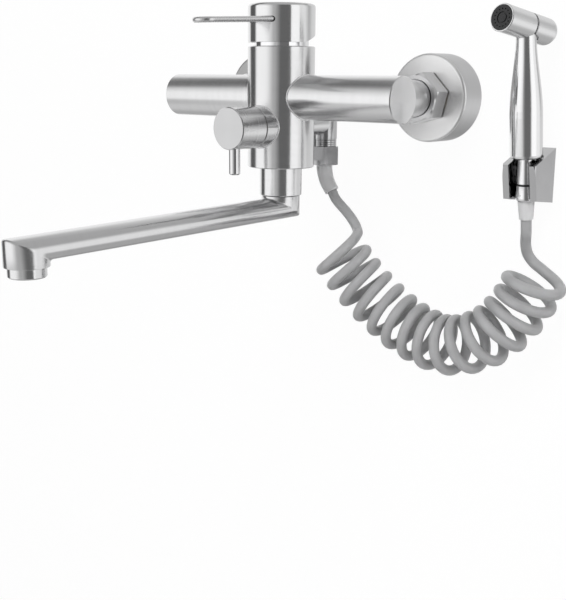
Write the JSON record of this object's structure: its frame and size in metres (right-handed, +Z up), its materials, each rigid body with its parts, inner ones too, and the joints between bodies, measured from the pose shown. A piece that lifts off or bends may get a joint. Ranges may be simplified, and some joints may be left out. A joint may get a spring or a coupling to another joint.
{
  "type": "wall-mounted kitchen mixer tap",
  "caption": "Wall-mounted kitchen mixer tap with a lever, a diverter knob, a swivel spout and a hand spray on a curly hose in a wall bracket.",
  "frame": {"origin": "on the wall plane, midway between the two inlets", "axes": "+Z up, +Y into the wall, +X to the right seen from the room"},
  "size_m": [0.284, 0.3131, 0.2407],
  "materials": {
    "steel_body": "brushed satin stainless steel",
    "steel_bright": "polished chrome",
    "steel_satin": "fine satin steel",
    "brass": "turned brass",
    "ceramic": "lapped white ceramic",
    "rubber": "black rubber",
    "plastic_inner": "moulded acetal",
    "plastic_dark": "moulded grey plastic",
    "plastic_black": "black moulded plastic",
    "hose_grey": "smooth grey polyurethane",
    "aerator_white": "white moulded plastic"
  },
  "bodies": {
    "root": {"mixer_body": "steel_body", "base_seals": "rubber", "cartridge_base": "plastic_dark", "fixed_disc": "ceramic", "cartridge_housing": "plastic_dark", "cartridge_nut": "steel_bright", "dome_ring": "steel_bright", "wall_unions": "brass", "inlet_washers": "rubber", "union_nut_left": "steel_satin", "union_nut_right": "steel_satin", "flange_left": "steel_body", "flange_right": "steel_body", "diverter_bush": "brass", "outlet_elbow": "steel_satin", "elbow_ring": "rubber", "hose_washer": "rubber", "hose_tail": "brass", "hose_nut": "steel_bright", "hose_sleeve": "hose_grey", "hose_lead_in": "hose_grey", "hose_coil": "hose_grey", "hose_lead_out": "hose_grey", "spout_collar": "steel_body", "spray_bracket": "steel_bright", "bracket_screws": "steel_bright"},
    "carrier": {"stem_carrier": "plastic_inner", "stem_pin": "steel_bright"},
    "handle": {"cartridge_stem": "brass", "handle_cap": "steel_satin", "handle_lever": "steel_satin", "handle_screw": "steel_bright"},
    "upper_disc": {"moving_disc": "ceramic"},
    "spout": {"spout_tube": "steel_body", "spout_rings": "rubber", "spout_clip": "plastic_inner", "aerator_housing": "steel_bright", "aerator_insert": "aerator_white", "aerator_seal": "rubber"},
    "diverter": {"diverter_spindle": "brass", "diverter_rotor": "ceramic", "diverter_knob": "steel_satin", "knob_pin": "steel_satin"},
    "hand_spray": {"grip": "steel_bright", "spray_head": "steel_satin", "spray_face": "plastic_black", "return_spring": "steel_bright", "connector_nut": "steel_bright", "connector_ring": "plastic_black", "connector_cone": "steel_bright", "spray_sleeve": "hose_grey"},
    "thumb_cap": {"press_cap": "steel_satin", "valve_stem": "brass", "valve_seal": "rubber"}
  },
  "joints": [
    {"name": "handle_turn", "type": "hinge", "parent": "root", "child": "carrier", "pos_m": [0, -0.0822, 0], "axis": [0, 0, 1], "range_deg": [-45, 45]},
    {"name": "handle_lift", "type": "hinge", "parent": "carrier", "child": "handle", "pos_m": [0, -0.0822, 0.02765], "axis": [-1, 0, 0], "range_deg": [0, 18]},
    {"name": "disc_slide", "type": "slide", "parent": "carrier", "child": "upper_disc", "axis": [0, -1, 0], "range_m": [0, 0.00195]},
    {"name": "spout_swivel", "type": "hinge", "parent": "root", "child": "spout", "pos_m": [0, -0.0822, 0], "axis": [0, 0, 1], "range_deg": [-84, 95]},
    {"name": "diverter_turn", "type": "hinge", "parent": "root", "child": "diverter", "pos_m": [0, -0.11, -0.019], "axis": [0, -1, 0], "range_deg": [0, 90]},
    {"name": "spray_lift", "type": "slide", "parent": "root", "child": "hand_spray", "axis": [0, -0.134, 0.991], "range_m": [0, 0.045]},
    {"name": "thumb_press", "type": "slide", "parent": "hand_spray", "child": "thumb_cap", "axis": [-0.1336, -0.9795, 0.1508], "range_m": [0, 0.0012], "stiffness_N_per_m": 1500, "springref_m": -0.002, "deforming": ["return_spring"]}
  ],
  "couplings": [
    {"joint": "disc_slide", "follows": "handle_lift", "m_per_rad": 0.006099}
  ]
}
